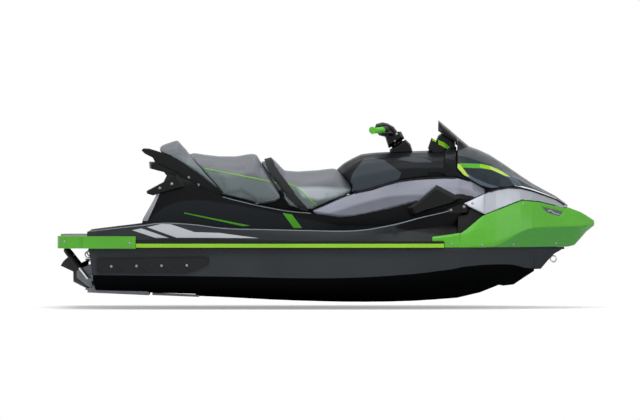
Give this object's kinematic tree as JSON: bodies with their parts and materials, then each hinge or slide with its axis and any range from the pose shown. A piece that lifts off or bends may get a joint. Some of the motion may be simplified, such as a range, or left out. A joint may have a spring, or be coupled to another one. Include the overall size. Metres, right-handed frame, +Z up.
{
  "type": "personal watercraft",
  "caption": "Sit-on watercraft with a stepped seat, footwells, a jet pump with steering nozzle and reverse bucket, a folding boarding step and a front storage hatch.",
  "frame": {"origin": "centreline in the water plane, 43% of the length ahead of the stern bumper", "axes": "+X towards the bow, +Y to port, +Z up"},
  "size_m": [3.5787, 1.1956, 1.2179],
  "materials": {
    "hull_gloss": "glossy",
    "deck_moulding": "glossy",
    "engine_metal": "cast",
    "silver_paint": "satin",
    "dark_panel": "grained",
    "green_plastic": "glossy",
    "rail_rubber": "matt",
    "black_plastic": "grained",
    "cast_aluminium": "cast, satin",
    "pump_aluminium": "cast, satin",
    "stainless": "brushed",
    "nozzle_black": "satin",
    "step_rubber": "matt",
    "foam_mat": "matt",
    "seat_vinyl": "grained vinyl",
    "seat_vinyl_dark": "grained vinyl",
    "strap_web": "woven",
    "bar_steel": "satin",
    "grip_green": "matt",
    "display_glass": "clear",
    "smoked_screen": "glossy",
    "hood_gloss": "glossy",
    "mirror_glass": "polished",
    "lamp_lens": "clear"
  },
  "bodies": {
    "craft": {"hull": "hull_gloss", "deck": "deck_moulding", "seat_pedestal": "deck_moulding", "engine_block": "engine_metal", "side_fairings": "silver_paint", "console": "dark_panel", "fenders": "silver_paint", "bow_bumper": "green_plastic", "stern_bumpers": "green_plastic", "rub_rail": "rail_rubber", "rail_stripe": "green_plastic", "sponsons": "black_plastic", "ride_plate": "cast_aluminium", "intake_grate": "cast_aluminium", "pump_housing": "pump_aluminium", "pump_brackets": "cast_aluminium", "step_brackets": "stainless", "deck_mats": "foam_mat", "rear_seat": "seat_vinyl", "front_seat": "seat_vinyl", "backrest": "seat_vinyl_dark", "seat_strap": "strap_web", "grab_handle": "black_plastic", "rear_panel": "dark_panel", "seat_wings": "black_plastic", "steering_column": "black_plastic", "meter_pod": "black_plastic", "display": "display_glass", "storage_bin": "black_plastic", "mirror_housings": "dark_panel", "mirrors": "mirror_glass", "cleats": "black_plastic", "tow_eyes": "stainless", "hatch_hinge": "stainless", "bow_lamps": "lamp_lens", "side_vents": "black_plastic", "drain_plugs": "black_plastic"},
    "handlebar_assembly": {"handlebar": "bar_steel", "handlebar_cover": "black_plastic", "grips": "grip_green", "bar_controls": "black_plastic"},
    "nozzle": {"steering_nozzle": "nozzle_black"},
    "bucket": {"reverse_bucket": "nozzle_black"},
    "step": {"boarding_step": "stainless", "step_grip": "step_rubber"},
    "pump_rotor": {"impeller": "stainless"},
    "hood_lid": {"hatch": "hood_gloss", "windscreen": "smoked_screen"}
  },
  "joints": [
    {"name": "steering", "type": "hinge", "parent": "craft", "child": "handlebar_assembly", "pos_m": [0.75625, 0, 0.70881], "axis": [-0.5328, 0, 0.8463], "range_deg": [-22, 22]},
    {"name": "nozzle_yaw", "type": "hinge", "parent": "craft", "child": "nozzle", "pos_m": [-1.35328, 0, -0.1], "axis": [0, 0, 1], "range_deg": [-22, 22]},
    {"name": "reverse_gate", "type": "hinge", "parent": "craft", "child": "bucket", "pos_m": [-1.40513, 0, -0.1], "axis": [0, -1, 0], "range_deg": [0, 75]},
    {"name": "step_fold", "type": "hinge", "parent": "craft", "child": "step", "pos_m": [-1.33883, 0, -0.13442], "axis": [0, -1, 0], "range_deg": [0, 105], "stiffness_Nm_per_rad": 6, "springref_deg": -34.38},
    {"name": "impeller_spin", "type": "hinge", "parent": "craft", "child": "pump_rotor", "pos_m": [-1.05978, 0, -0.1], "axis": [1, 0, 0], "continuous": true},
    {"name": "hood_hinge", "type": "hinge", "parent": "craft", "child": "hood_lid", "pos_m": [1.85032, 0, 0.36081], "axis": [0, 1, 0], "range_deg": [0, 45]}
  ],
  "couplings": [
    {"joint": "nozzle_yaw", "follows": "steering", "ratio": 1}
  ]
}
